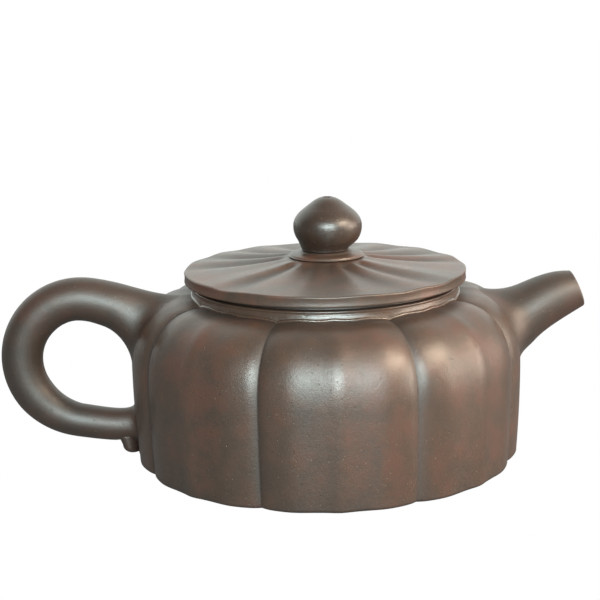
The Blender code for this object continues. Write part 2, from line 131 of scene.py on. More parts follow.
def rounded(outline, radius, steps=5):
    """An outline of (radius, height) whose corners are rounded by quadratic curves.

    Each corner is cut back by the radius, or by a third of the shorter side."""
    outline = np.array(outline, float)
    made = []
    for before, corner, after in zip(np.roll(outline, 1, 0), outline, np.roll(outline, -1, 0)):
        back, ahead = before - corner, after - corner
        cut = min(radius, np.hypot(*back) / 3, np.hypot(*ahead) / 3)
        start = corner + back / np.hypot(*back) * cut
        end = corner + ahead / np.hypot(*ahead) * cut
        for t in np.linspace(0, 1, steps):
            made.append((1 - t) ** 2 * start + 2 * t * (1 - t) * corner + t**2 * end)
    return np.array(made)


def refined(line, spacing):
    """A closed line of points with more points put in where two are far apart."""
    made = []
    for a, b in zip(line, np.roll(line, -1, 0)):
        count = max(1, int(np.ceil(np.linalg.norm(b - a) / spacing)))
        made += [a + (b - a) * k / count for k in range(count)]
    return np.array(made)


def round_axis(radius, angle, height):
    """Points at a radius and an angle about Z and at a height, all spread to one grid."""
    radius, angle, height = np.broadcast_arrays(radius, angle, height)
    return np.stack([radius * np.cos(angle), radius * np.sin(angle), height], -1)


def turns(count):
    """Equal angles once round, from 0."""
    return np.arange(count) / count * FULL_TURN


def turned_rings(outline, columns):
    """A ring of points for each (radius, height) of the outline, turned about Z."""
    return round_axis(outline[:, :1], -turns(columns), outline[:, 1:])


# ---- meshes from grids ----


def grid_faces(rows, columns, closed_rows):
    """Corner numbers of the quads of a grid whose columns close round."""
    row, column = np.divmod(np.arange((rows if closed_rows else rows - 1) * columns), columns)
    start, below = row * columns, (row + 1) % rows * columns
    beside = (column + 1) % columns
    return np.stack([start + column, start + beside, below + beside, below + column], 1)


def mesh_object(name, points, faces, values):
    """A smooth mesh object from points in mm, lists of equal-sided faces and point values."""
    mesh = bpy.data.meshes.new(name)
    mesh.vertices.add(len(points))
    mesh.vertices.foreach_set("co", (points * MM).astype(np.float32).ravel())
    corners = np.concatenate([f.ravel() for f in faces])
    sides = np.concatenate([np.full(len(f), f.shape[1]) for f in faces])
    mesh.loops.add(len(corners))
    mesh.loops.foreach_set("vertex_index", corners.astype(np.int32))
    mesh.polygons.add(len(sides))
    mesh.polygons.foreach_set("loop_start", (np.cumsum(sides) - sides).astype(np.int32))
    mesh.update(calc_edges=True)
    mesh.validate()
    mesh.shade_smooth()
    for key, value in values.items():
        attribute = mesh.attributes.new(key, "FLOAT", "POINT")
        attribute.data.foreach_set("value", np.broadcast_to(value, len(points)).astype(np.float32))
    item = bpy.data.objects.new(name, mesh)
    bpy.context.scene.collection.objects.link(item)
    return item


def skin(name, rings, closed=True, grime_and_shade=0.0, wear_and_highlight=0.0, window=None):
    """A clay piece from rings of points (rows, columns, 3).

    closed joins the last ring to the first; otherwise both ends are filled with a
    fan. The two point values say, from 0 to 1, where the clay is darkened, by dirt
    and by painted shade in creases, recesses and gaps, and where it is lightened, by
    wear and by painted highlights on ridges, rims and edges.
    window is (first rows, second rows, columns): a hole cut through both skins, whose
    rims are joined by flat sides."""
    rows, columns = rings.shape[:2]
    points = rings.reshape(-1, 3)
    values = {
        "grime_and_shade": np.broadcast_to(grime_and_shade, (rows, columns)).ravel(),
        "wear_and_highlight": np.broadcast_to(wear_and_highlight, (rows, columns)).ravel(),
    }
    quads = grid_faces(rows, columns, closed)
    faces = [with_window(quads, columns, *window) if window else quads]
    if not closed:
        ends = np.array([rings[0].mean(0), rings[-1].mean(0)])
        points = np.concatenate([points, ends])
        values = {key: np.append(value, [value[0], value[-1]]) for key, value in values.items()}
        column = np.arange(columns)
        beside = (column + 1) % columns
        last = (rows - 1) * columns
        first_middle = np.full(columns, rows * columns)
        faces.append(np.stack([first_middle, beside, column], 1))
        faces.append(np.stack([first_middle + 1, last + column, last + beside], 1))
    return mesh_object(name, points, faces, values)


def with_window(quads, columns, outer_rows, inner_rows, window_columns):
    """Quads with a rectangle left out of two skins and its four sides joined across.

    The rows and columns are (first, last). The inner skin's rows run the other way."""
    first, last = window_columns
    cell_row, cell_column = quads[:, 0] // columns, quads[:, 0] % columns
    inside_columns = (cell_column - first) % columns < (last - first) % columns
    out = (cell_row >= outer_rows[0]) & (cell_row < outer_rows[1]) & inside_columns
    back = (cell_row >= inner_rows[0]) & (cell_row < inner_rows[1]) & inside_columns
    across = (first + np.arange((last - first) % columns + 1)) % columns
    outer_line = np.arange(outer_rows[0], outer_rows[1] + 1)
    inner_line = np.arange(inner_rows[1], inner_rows[0] - 1, -1)
    outer_rim = np.concatenate([
        outer_rows[0] * columns + across[:-1],
        outer_line[:-1] * columns + across[-1],
        outer_rows[1] * columns + across[:0:-1],
        outer_line[:0:-1] * columns + across[0],
    ])
    inner_rim = np.concatenate([
        inner_rows[1] * columns + across[:-1],
        inner_line[:-1] * columns + across[-1],
        inner_rows[0] * columns + across[:0:-1],
        inner_line[:0:-1] * columns + across[0],
    ])
    sides = np.stack([outer_rim, np.roll(outer_rim, -1), np.roll(inner_rim, -1), inner_rim], 1)
    return np.concatenate([quads[~(out | back)], sides])


# ---- the lobed body ----


def column_angles():
    """Angles round the body, closest together at the creases and on the ridges."""
    t = (np.arange(COLUMNS_PER_LOBE) / COLUMNS_PER_LOBE) * 2 - 1
    one = HALF_LOBE * (t - 0.5 * np.sin(2 * np.pi * t) / (2 * np.pi))
    lobes = np.arange(LOBES)[:, None] * 2 * HALF_LOBE
    return np.radians((one + lobes).ravel())[::-1]


def relief(angle):
    """Depth of the lobed surface below its crest, as (lobe share, rib share), in mm.

    The lobe share falls away towards the crease between two lobes, faster close to
    it. The rib share is a narrow ridge in the middle, a soft valley, then a broad rib."""
    away = np.abs((np.degrees(angle) + HALF_LOBE) % (2 * HALF_LOBE) - HALF_LOBE)
    past_rib = np.clip(away - LOBE_FALL_ANGLE, 0, None) / (HALF_LOBE - LOBE_FALL_ANGLE)
    by_crease = np.clip(away - CREASE_ANGLE, 0, None) / (HALF_LOBE - CREASE_ANGLE)
    lobe = LOBE_FALL * past_rib**2.2 + CREASE_DEPTH * by_crease**2
    ridge = RIDGE_HEIGHT * (1 - bump(away, RIDGE_WIDTH))
    side = SIDE_RIB_HEIGHT * ease((away - VALLEY_ANGLE) / (SIDE_RIB_ANGLE - VALLEY_ANGLE))
    return lobe, ridge - side


def crest_line():
    """The body's crest from the neck to the base, as closely spaced (radius, height).

    A superellipse shoulder, a wall that leans in by the square of the way down, and
    a quarter circle at the base."""
    turn = np.linspace(0, np.pi / 2, 1200)
    power = 2 / SHOULDER_POWER
    shoulder = np.stack([
        SHOULDER_START + (BODY_RADIUS - SHOULDER_START) * np.sin(turn) ** power,
        BELLY_HEIGHT + (BODY_HEIGHT - BELLY_HEIGHT) * np.cos(turn) ** power,
    ], 1)
    down = np.linspace(0, 1, 300)[1:]
    wall = np.stack([
        BODY_RADIUS - BASE_INSET * down**2,
        BELLY_HEIGHT + (BASE_FILLET - BELLY_HEIGHT) * down,
    ], 1)
    quarter = np.linspace(0, np.pi / 2, 40)[1:]
    edge = wall[-1] + BASE_FILLET * np.stack([np.cos(quarter) - 1, -np.sin(quarter)], 1)
    neck = np.array([[NECK_START, BODY_HEIGHT + 0.02]])
    return np.concatenate([neck, shoulder, wall, edge])


class Wall:
    """The lobed outer surface, as a function of angle and of the way down its crest."""

    def __init__(self):
        self.line = crest_line()
        self.run = run_along(self.line)
        self.length = self.run[-1]
        self.slope = unit(np.gradient(self.line, self.run, axis=0))

    def at_height(self, height):
        """The way down the crest at which it reaches a height."""
        return float(np.interp(-height, -self.line[:, 1], self.run))

    def crest(self, run):
        """(radius, height, outward, upward) of the crest."""
        columns = [np.interp(run, self.run, c) for c in (*self.line.T, *self.slope.T)]
        radius, height, along_r, along_z = columns
        return radius, height, -along_z, along_r

    def point(self, angle, run, lift=0.0):
        """Points of the surface: the crest moved inwards along its normal by the relief.

        Near the base it moves level, so that the foot stays flat. Lobes and ribs fade
        towards the neck, and the ribs deepen towards the base."""
        radius, height, outward, upward = self.crest(run)
        lobe, rib = relief(angle)
        near_base = ease((3.0 - height) / 2.0)
        lobe_share = 0.42 + 0.58 * ease((radius - 38.0) / 15.0)
        rib_share = 0.45 + 0.45 * ease((radius - 40.0) / 14.0) + 0.35 * ease((26.0 - height) / 26.0)
        depth = lobe_share * lobe + rib_share * rib - lift
        inwards = depth * (outward + (1 - outward) * near_base)
        downwards = depth * upward * (1 - near_base)
        return round_axis(radius - inwards, angle, height - downwards)


WALL_SURFACE = Wall()


def inner_crest():
    """The inside of the wall, upwards: the crest moved inwards by the wall's thickness.

    It leaves out the base's corner and the part near the throat."""
    wall = WALL_SURFACE
    line = wall.line + WALL * wall.slope[:, ::-1] * (1, -1)
    kept = (wall.line[:, 1] > 4.0) & (line[:, 0] > THROAT_RADIUS + 2)
    return line[kept][::-1]


def body_wall():
    """The lobed wall: outer skin from neck to base, foot, and the smooth skin inside.

    An opening joins both skins behind the spout."""
    angle = column_angles()
    wall = WALL_SURFACE
    shoulder_run, belly_run, base_run = (wall.at_height(z) for z in (44, 28, BASE_FILLET))
    runs = np.concatenate([
        np.linspace(0, shoulder_run, 20)[:-1],
        np.linspace(shoulder_run, belly_run, 34)[:-1],
        np.linspace(belly_run, base_run, 20)[:-1],
        np.linspace(base_run, wall.length, 8),
    ])
    outer = wall.point(angle[None, :], runs[:, None])
    lobe, rib = relief(angle)
    heights = wall.crest(runs)[1][:, None]
    # Darker in the creases and rib valleys (dirt and painted shade) and at the foot and just under the neck
    # (painted shade); lighter on the rib crests below the shoulder (wear and painted highlight).
    grooves = bump(lobe - lobe.max(), 0.55) + 0.15 * bump(rib - rib.max(), 0.2)
    grime_and_shade = np.maximum(np.clip(grooves, 0, 1), 0.8 * bump(heights, 1.6))
    grime_and_shade = np.maximum(grime_and_shade, 0.5 * ease((heights - 46.8) / 0.5))
    wear_and_highlight = bump(rib, 0.12) * ease((46 - heights) / 6)

    first_row, last_row = (int(np.argmin(np.abs(heights - z))) for z in (POUR_TOP, POUR_BOTTOM))
    pour_rows = last_row - first_row
    inner_upwards = inner_crest()
    below_pour = np.linspace(BASE_THICKNESS + 0.1, POUR_BOTTOM, 12)[:-1]
    beside_pour = np.linspace(POUR_BOTTOM, POUR_TOP, pour_rows + 1)
    above_pour = np.linspace(POUR_TOP, inner_upwards[-1, 1], 8)[1:]
    levels = np.concatenate([below_pour, beside_pour, above_pour])
    foot = [(FOOT_INNER_RADIUS, 0.0), (FOOT_INNER_RADIUS, BASE_THICKNESS)]
    inside = np.stack([np.interp(levels, inner_upwards[:, 1], inner_upwards[:, 0]), levels], 1)
    throat = [
        (THROAT_RADIUS + 1, 43.7), (THROAT_RADIUS, 44.6), (THROAT_RADIUS, 46.8), (THROAT_RADIUS + 0.4, 47.1),
    ]
    inner_line = np.concatenate([foot, inside, throat])
    inner = round_axis(inner_line[:, :1], angle, inner_line[:, 1:])

    inner_row = len(outer) + len(foot) + len(below_pour)
    middle = int(np.argmin(np.abs(angle)))
    across = int(np.sum(np.abs(angle) < np.radians(POUR_HALF_ANGLE))) // 2
    window = ((first_row, last_row), (inner_row, inner_row + pour_rows), (middle - across, middle + across))
    # The inside of the wall is painted darker, as shade.
    grime_and_shade = np.concatenate([grime_and_shade, np.full(inner.shape[:2], 0.5)])
    wear_and_highlight = np.concatenate([wear_and_highlight, np.zeros(inner.shape[:2])])
    return skin("clay_wall", np.concatenate([outer, inner]), grime_and_shade=grime_and_shade, wear_and_highlight=wear_and_highlight, window=window)


# ---- neck, mouth and base ----


# The collar's face, downwards, as (radius, height)
NECK_LIP = [(36.9, 50.02), (37.6, 50.0), (38.0, 49.93), (38.24, 49.8), (38.32, 49.62), (38.28, 49.42)]
NECK_COVE = [(38.22, 49.24), (38.2, 49.08), (38.21, 48.95), (38.25, 48.8), (38.27, 48.65), (38.32, 48.5)]
NECK_LINES = [(38.37, 48.35), (38.44, 48.2), (38.44, 48.1), (38.5, 48.03)]
NECK_BEAD = [(38.62, 47.97), (38.75, 47.86), (38.84, 47.7), (38.86, 47.48), (38.8, 47.28), (38.62, 47.05)]


def neck_band():
    """The collar on the shoulder: fine tool lines, a cove, and a thin bead that follows
    the lobes. Its foot lies on the shoulder, so the bead rises and falls with it."""
    angle = column_angles()
    lobe, rib = relief(angle)
    wave = -(0.45 * lobe + 0.6 * rib)
    face = NECK_LIP + NECK_COVE + NECK_LINES + NECK_BEAD
    foot = [(38.0, 46.9), (36.0, 47.1)]
    inside = [(THROAT_RADIUS, 47.4), (THROAT_RADIUS, 49.8), (35.2, 50.02)]
    outline = np.array(face + foot + inside)
    follow = ease((49.0 - outline[:, 1:]) / 1.0)
    follow[len(face) + 1:] = 0.4
    follow[-2:] = 0
    rings = round_axis(outline[:, :1], angle, outline[:, 1:] + follow * wave)
    lines = len(NECK_LIP + NECK_COVE)
    bead = lines + len(NECK_LINES)
    # Painted shade on the lip just under the lid, below the bead and on the inside; the fine tool lines
    # darker (dirt and painted shade); the bead lighter as a painted highlight, with wear.
    grime_and_shade = np.zeros((len(outline), 1))
    grime_and_shade[:3] = 0.8
    grime_and_shade[lines:bead, 0] = (0.2, 0.5, 0.6, 0.3)
    grime_and_shade[bead + 4:] = 0.6
    wear_and_highlight = np.zeros((len(outline), 1))
    wear_and_highlight[bead:bead + 4] = 0.6
    return skin("clay_neck", rings, grime_and_shade=grime_and_shade, wear_and_highlight=wear_and_highlight)


def mouth_ring():
    """The thin ring that the lid rests on, set back so that its shadow shows; it is painted dark all over as
    shade in the gap under the lid.
    """
    outline = rounded([
        (MOUTH_RADIUS, MOUTH_TOP), (36.9, MOUTH_TOP), (37.0, 50.5), (37.1, MOUTH_FOOT),
        (MOUTH_RADIUS, MOUTH_FOOT),
    ], 0.2)
    return skin("clay_mouth", turned_rings(refined(outline, 1.0), 240), grime_and_shade=0.9)


def base_slab():
    """The slab in the foot, a little dished below, with a soft edge."""
    edge = FOOT_INNER_RADIUS - 0.3
    radii = np.linspace(edge - 1.0, 0.4, 26)
    top = [(r, BASE_THICKNESS) for r in radii[::-1]]
    side = [(edge - 0.4, BASE_THICKNESS), (edge, 3.0), (edge, 0.5), (edge - 0.1, 0.15), (edge - 0.4, 0.02)]
    under = [(r, 0.25 * ease((46 - r) / 10)) for r in radii]
    return skin("clay_base", turned_rings(np.array(top + side + under), 160), closed=False, grime_and_shade=0.35)


# ---- what spout and handle share ----


def oval_on_wall(azimuth, run, size, sides, sink=0.05):
    """A ring of points on the wall round a place on it, with the way towards its middle.

    The ring is an oval in (distance round, distance down), of the size (up, down,
    across) from its middle. sink is its depth under the surface."""
    up, down, across = size
    rise = np.cos(turns(sides)) * np.where(np.cos(turns(sides)) > 0, up, down)
    side = np.sin(turns(sides)) * across / BODY_RADIUS
    ring, nearer = (
        WALL_SURFACE.point(azimuth + side * share, run - rise * share, -sink) for share in (1.0, 0.97)
    )
    return ring, unit(nearer - ring)


def hermite(start, start_way, end, end_way, rows):
    """Rows between two rings: each point runs along a cubic Hermite curve.

    Its slope at both ends is its way there, as long as the gap between the rings."""
    gap = np.linalg.norm(end - start, axis=1)[:, None]
    t = np.linspace(0, 1, rows)[:, None, None]
    leaving, arriving = (t**3 - 2 * t**2 + t) * gap, (t**3 - t**2) * gap
    share = 3 * t**2 - 2 * t**3
    return (1 - share) * start + leaving * start_way + share * end + arriving * end_way


def upright(points):
    """(x, z) points as 3-D points in the plane of spout and handle."""
    return [(x, 0.0, z) for x, z in points]


def tube_rings(line, radius, sides):
    """Round rings along a line in the plane of spout and handle.

    The first point of each is on the left of the way, seen from the front: inside the
    handle's loop, or above the spout's bore."""
    back = np.array([0.0, 1.0, 0.0])
    left = np.cross(unit(np.gradient(line, axis=0)), back)
    turn = turns(sides)[None, :, None]
    radius = radius[:, None, None]
    return line[:, None] + radius * (np.cos(turn) * left[:, None] + np.sin(turn) * back)


# ---- spout ----

SPOUT_SIDES = 84
SPOUT_TOP = [(57.2, 47.7), (62.2, 49.8), (66.2, 51.4), (71.2, 51.2)]
SPOUT_BOTTOM = [(61.0, 30.9), (64.0, 34.2), (69.4, 37.2), (75.4, 40.7)]
SPOUT_BORE = [(73.0, 46.2), (66.0, 44.0), (60.5, 39.5), (53.0, 34.6)]
SPOUT_ROOT = np.array([16.0, 13.0, 16.0])
SPOUT_ROOT_HEIGHT = 37.0
BORE_RADIUS = 3.85
BORE_END_RADIUS = 5.6


def spout_sections(count):
    """Rings of the free spout: each spans from its top line to its bottom line.

    The top and bottom lines are Bezier curves; the half width narrows with the way."""
    top, bottom = (bezier(upright(line), count) for line in (SPOUT_TOP, SPOUT_BOTTOM))
    t = np.linspace(0, 1, count)
    middle, half = (top + bottom) / 2, (top - bottom) / 2
    width = np.linalg.norm(half, axis=1) * (1.0 + 0.06 * (1 - t) ** 2)
    turn = turns(SPOUT_SIDES)
    rings = middle[:, None] + half[:, None] * np.cos(turn)[:, None]
    rings[:, :, 1] += width[:, None] * np.sin(turn)
    return rings


def spout_lip(tip):
    """The rounded lip: half circles from the tip's edge over into the bore."""
    centre = tip.mean(0)
    outward = unit(np.cross(tip[SPOUT_SIDES // 4] - centre, tip[0] - centre))
    radius = np.linalg.norm(tip - centre, axis=1).mean()
    half = (radius - BORE_RADIUS - 0.05) / 2
    turn = np.linspace(0, np.pi, 12)[1:, None, None]
    out = (radius - half + half * np.cos(turn)) * unit(tip - centre)
    return centre + out + 0.75 * np.sin(turn) * outward


def spout():
    """The spout: flared off the wall, slim at its rounded lip, bored through."""
    place = WALL_SURFACE.at_height(SPOUT_ROOT_HEIGHT)
    root, way = oval_on_wall(0.0, place, SPOUT_ROOT, SPOUT_SIDES)
    free = spout_sections(34)
    flare = hermite(root, 1.15 * way, free[0], 1.05 * unit(free[1] - free[0]), 30)[:-1]
    lip = spout_lip(free[-1])
    bore_line = bezier(upright(SPOUT_BORE), 26)[:0:-1]
    bore_radius = np.linspace(BORE_RADIUS, BORE_END_RADIUS, 26)[:0:-1]
    bore = tube_rings(bore_line, bore_radius, SPOUT_SIDES)[::-1]
    # Within the wall's thickness the bore's end closes onto the root
    buried = [
        oval_on_wall(0.0, place, SPOUT_ROOT * share, SPOUT_SIDES, sink)[0]
        for share, sink in ((0.55, 1.9), (0.8, 1.6), (0.99, 0.8))
    ]
    rings = np.concatenate([flare, free, lip, bore, buried])
    lip_row = len(flare) + len(free)
    # A little darker at the root where it joins the wall; the bore painted dark as shade; lighter round the
    # lip for wear and as a painted highlight.
    grime_and_shade = np.zeros((len(rings), 1))
    grime_and_shade[:8] = 0.12
    grime_and_shade[lip_row + len(lip) + 1:] = 0.9
    wear_and_highlight = np.zeros((len(rings), 1))
    wear_and_highlight[lip_row - 8:lip_row + 7] = 0.5
    return skin("clay_spout", rings[:, ::-1], grime_and_shade=grime_and_shade, wear_and_highlight=wear_and_highlight)


# ---- handle ----

HANDLE_SIDES = 72
HANDLE_SPANS = [
    [(-62.0, 45.1), (-65.3, 46.2), (-68.0, 46.9), (-71.0, 46.9)],
    [(-71.0, 46.9), (-79.5, 46.9), (-87.6, 39.4), (-87.6, 29.4)],
    [(-87.6, 29.4), (-87.6, 20.1), (-80.4, 12.2), (-71.0, 10.7)],
    [(-71.0, 10.7), (-67.8, 10.1), (-64.5, 9.5), (-62.0, 9.3)],
]
# Half the grip's thickness at shares of the loop's length
HANDLE_SHARES = [0, 0.06, 0.16, 0.3, 0.5, 0.66, 0.85, 1.0]
HANDLE_RADII = [6.55, 6.3, 6.15, 6.1, 5.8, 5.65, 4.85, 4.7]
HANDLE_ROOT = np.array([17.5, 11.5, 11.0])
HANDLE_ROOT_HEIGHT = 38.0
HANDLE_FOOT = np.array([6.6, 5.6, 6.6])
HANDLE_FOOT_HEIGHT = 9.0


def handle_loop():
    """The free part of the handle: round rings along four Bezier spans end to end."""
    spans = [bezier(upright(span), 30) for span in HANDLE_SPANS]
    line = np.concatenate([spans[0]] + [span[1:] for span in spans[1:]])
    along = run_along(line)
    radius = np.interp(along / along[-1], HANDLE_SHARES, HANDLE_RADII)
    return tube_rings(line, radius, HANDLE_SIDES)


def handle_root(share, sink=0.05):
    """The upper root's ring and ways, begun at its lowest point, inside the loop."""
    run = WALL_SURFACE.at_height(HANDLE_ROOT_HEIGHT)
    ovals = oval_on_wall(np.pi, run, HANDLE_ROOT * share, HANDLE_SIDES, sink)
    return [np.roll(oval, HANDLE_SIDES // 2, 0) for oval in ovals]


def handle_foot(share, sink=0.05):
    """The lower root's ring and ways, turned the other way round, as the loop arrives."""
    run = WALL_SURFACE.at_height(HANDLE_FOOT_HEIGHT)
    ovals = oval_on_wall(np.pi, run, HANDLE_FOOT * share, HANDLE_SIDES, sink)
    return [np.roll(oval[::-1], 1, 0) for oval in ovals]


def handle():
    """The ear handle: a round tapered loop that flares into the wall at both ends."""
    loop = handle_loop()
    root, root_way = handle_root(1.0)
    foot, foot_way = handle_foot(1.0)
    rings = np.concatenate([
        [handle_root(0.5, 1.8)[0], handle_root(0.96, 1.0)[0]],
        hermite(root, root_way, loop[0], unit(loop[1] - loop[0]), 30)[:-1],
        loop,
        hermite(loop[-1], unit(loop[-1] - loop[-2]), foot, -foot_way, 18)[1:],
        [handle_foot(0.9, 1.0)[0]],
    ])
    # Lighter along the loop, most on its outer side: wear from hands and a painted highlight.
    plain, fading = 12, 20
    polish_and_highlight = np.ones(len(rings))
    polish_and_highlight[:plain] = 0
    polish_and_highlight[plain:plain + fading] = np.linspace(0, 1, fading)
    polish_and_highlight[-fading:] = np.linspace(1, 0, fading)
    wear_and_highlight = polish_and_highlight[:, None] * (0.35 - 0.3 * np.cos(turns(HANDLE_SIDES)))
    return skin("clay_handle", rings[:, ::-1], closed=False, wear_and_highlight=wear_and_highlight)


TAIL_BACK = -55.6
TAIL_TOP = 6.4
TAIL_SHOULDER = 3.1
TAIL_BOTTOM = 0.75
TAIL_HALF_WIDTH = 3.6


def handle_tail():
    """The lug under the handle's foot: a small round-ended thumb of clay on the wall.

    Its sections are D shapes that shrink in a quarter circle at the bottom."""
    turn = turns(48)
    straight = np.linspace(0, 1, 9)[:-1]
    drop = np.linspace(0, np.pi / 2, 14)[:-1]
    height = np.concatenate([
        TAIL_TOP + (TAIL_SHOULDER - TAIL_TOP) * straight,
        TAIL_SHOULDER - (TAIL_SHOULDER - TAIL_BOTTOM) * np.sin(drop),
    ])
    width = TAIL_HALF_WIDTH * np.concatenate([1.06 - 0.06 * straight, np.cos(drop) ** 0.75])
    depth = np.concatenate([5.9 - 1.3 * straight, 4.6 * np.cos(drop) ** 0.6])
    rings = np.empty((len(height), len(turn), 3))
    rings[:, :, 0] = TAIL_BACK - depth[:, None] * (0.5 + 0.5 * np.cos(turn)) ** 0.8
    rings[:, :, 1] = width[:, None] * np.sin(turn)
    rings[:, :, 2] = height[:, None]
    return skin("clay_tail", rings, closed=False, grime_and_shade=0.25, wear_and_highlight=0.1)


# ---- lid and knob ----

FRONT_ANGLE = -93.0

# Folds pressed into the lid: (angle at the rim, swing of the angle towards the
# middle, height). The angles run from the front, towards the spout.
LID_FOLDS = [
    (-176, 0, 0.10), (-160, 2, -0.42), (-149, 2, 0.12), (-138, 3, -0.50), (-128, 3, 0.14),
    (-118, 4, -0.60), (-105, 5, 0.10), (-93, 5, -0.55), (-79, 4, 0.16), (-66, 2, 0.06),
    (-52, 1, 0.26), (-44, 1, -0.55), (-31, 0, 0.16), (-17, 0, -0.16), (-8, 0, 0.02),
    (3, 0, -0.20), (13, -1, 0.14), (31, -9, -0.52), (41, -6, 0.16), (52, -4, -0.50),
    (62, -4, 0.26), (76, -4, 0.04), (88, -5, 0.12), (101, -6, -0.60), (110, -6, 0.12),
    (121, -6, -0.58), (133, -4, 0.12), (145, -3, -0.50), (156, -2, 0.12), (168, -1, -0.40),
]


def lid_fold(radius, angle):
    """Height that the folds add at a radius and an angle, in mm.

    From each named fold to the next the height passes by one smooth step, and the
    steps are added up. The folds are deepest between the seat and the plate's middle."""
    inwards = (1 - np.clip((radius - 12) / (LID_RADIUS - 12), 0, 1)) ** 1.5
    depth = 1.2 * ease((radius - 10.8) / 3.0) * (1 - 0.6 * ease((radius - 27) / 13))
    from_front = (np.degrees(angle) - FRONT_ANGLE + 180) % 360 - 180
    folds = np.array(LID_FOLDS, float)
    folds = np.vstack([folds[-1] - (360, 0, 0), folds, folds[0] + (360, 0, 0)])
    height = folds[0, 2]
    for (start, start_swing, low), (end, end_swing, high) in zip(folds, folds[1:]):
        place, next_place = start + start_swing * inwards, end + end_swing * inwards
        height = height + (high - low) * ease((from_front - place) / (next_place - place))
    return height * depth


def lid_hill(radius):
    """Height of the plate without its folds: low at the rim, steeper near the seat."""
    inwards = 1 - np.clip((radius - SEAT_RADIUS) / (LID_RADIUS - SEAT_RADIUS), 0, 1)
    return LID_EDGE_TOP + (LID_TOP - LID_EDGE_TOP) * (0.72 * inwards + 0.28 * inwards**4)


# The plate's underside, inwards from its edge, as (radius, height)
LID_UNDER_EDGE = [(LID_RADIUS, 51.6), (40.45, 51.4), (40.25, 51.26), (39.95, LID_UNDERSIDE)]
LID_UNDER_FLAT = [(38.0, LID_UNDERSIDE), (34.0, LID_UNDERSIDE), (30.2, LID_UNDERSIDE)]
LID_UNDER_DOME = [(29.8, 51.3), (28.0, 51.6), (20.0, 52.6), (12.0, 53.6), (6.0, 54.2), (VENT_RADIUS, 54.4)]


def lid_plate():
    """The fluted plate: its folded top, thin upright edge and plain underside.

    The edge rounds over by a quarter ellipse and is a little dished down its side."""
    angle = -turns(600)
    rim = LID_RADIUS - LID_ROUNDING
    top_radius = np.concatenate([[VENT_RADIUS, 4.0, 8.0], np.linspace(10.3, rim, 46)])[:, None]
    fold = lid_fold(top_radius, angle)
    top_height = lid_hill(top_radius) + fold
    corner = np.linspace(0, np.pi / 2, 6)[1:, None]
    corner_height = top_height[-1] - 0.45 * (1 - np.cos(corner))
    down = np.linspace(0, 1, 10)[1:-1, None]
    side_height = corner_height[-1] * (1 - down) + (LID_UNDERSIDE + 0.4) * down
    under = np.array(LID_UNDER_EDGE + LID_UNDER_FLAT + LID_UNDER_DOME)
    rings = np.concatenate([
        round_axis(top_radius, angle, top_height),
        round_axis(rim + LID_ROUNDING * np.sin(corner), angle, corner_height),
        round_axis(LID_RADIUS - 0.10 * np.sin(np.pi * down), angle, side_height),
        round_axis(under[:, :1], angle, under[:, 1:]),
    ])
    top_rows = len(top_radius)
    # Fold valleys and a ring by the seat are darker (dirt and painted shade); fold crests and the rim's edge
    # are lighter (painted highlights, with wear).
    grime_and_shade = np.zeros(rings.shape[:2])
    grime_and_shade[:top_rows] = np.clip(-fold * 1.3, 0, 1) + 0.25 * bump(top_radius - 10.6, 0.6)
    wear_and_highlight = np.zeros(rings.shape[:2])
    wear_and_highlight[:top_rows] = np.clip(fold * 3, 0, 0.6)
    wear_and_highlight[top_rows - 1:top_rows + 3] = 0.5
    return skin("clay_lid", rings, grime_and_shade=grime_and_shade, wear_and_highlight=wear_and_highlight)


def lid_flange():
    """The ring under the plate that drops into the mouth, a little tapered."""
    outline = rounded([
        (FLANGE_INNER, FLANGE_TOP), (FLANGE_RADIUS, FLANGE_TOP), (FLANGE_RADIUS, 48.0),
        (FLANGE_RADIUS - 0.15, FLANGE_BOTTOM), (FLANGE_INNER + 0.1, FLANGE_BOTTOM), (FLANGE_INNER, 47.0),
    ], 0.5)
    return skin("clay_flange", turned_rings(refined(outline, 1.0), 200), grime_and_shade=0.3)


def knob_seat():
    """The seat: a thin disc whose edge is painted lighter as a highlight, and a fillet up to the knob's
    neck, painted darker as shade where it meets the knob.
    """
    outline = rounded([
        (VENT_RADIUS, 59.4), (6.9, 59.4), (7.6, 58.98), (9.7, 58.78), (10.4, 58.5), (10.6, 58.1),
        (10.9, 57.9), (10.2, 57.8), (VENT_RADIUS, 57.9),
    ], 0.35, 6)
    outline = refined(outline, 0.5)
    radius = outline[:, :1]
    rings = turned_rings(outline, 144)
    rings[:, :, 0] += 0.5 * KNOB_OFFSET * ease((radius - 2.0) / 4.0)
    grime_and_shade = 0.8 * bump(radius - 7.1, 0.5)
    return skin("clay_seat", rings, grime_and_shade=grime_and_shade, wear_and_highlight=0.8 * ease((radius - 9.6) / 0.6))


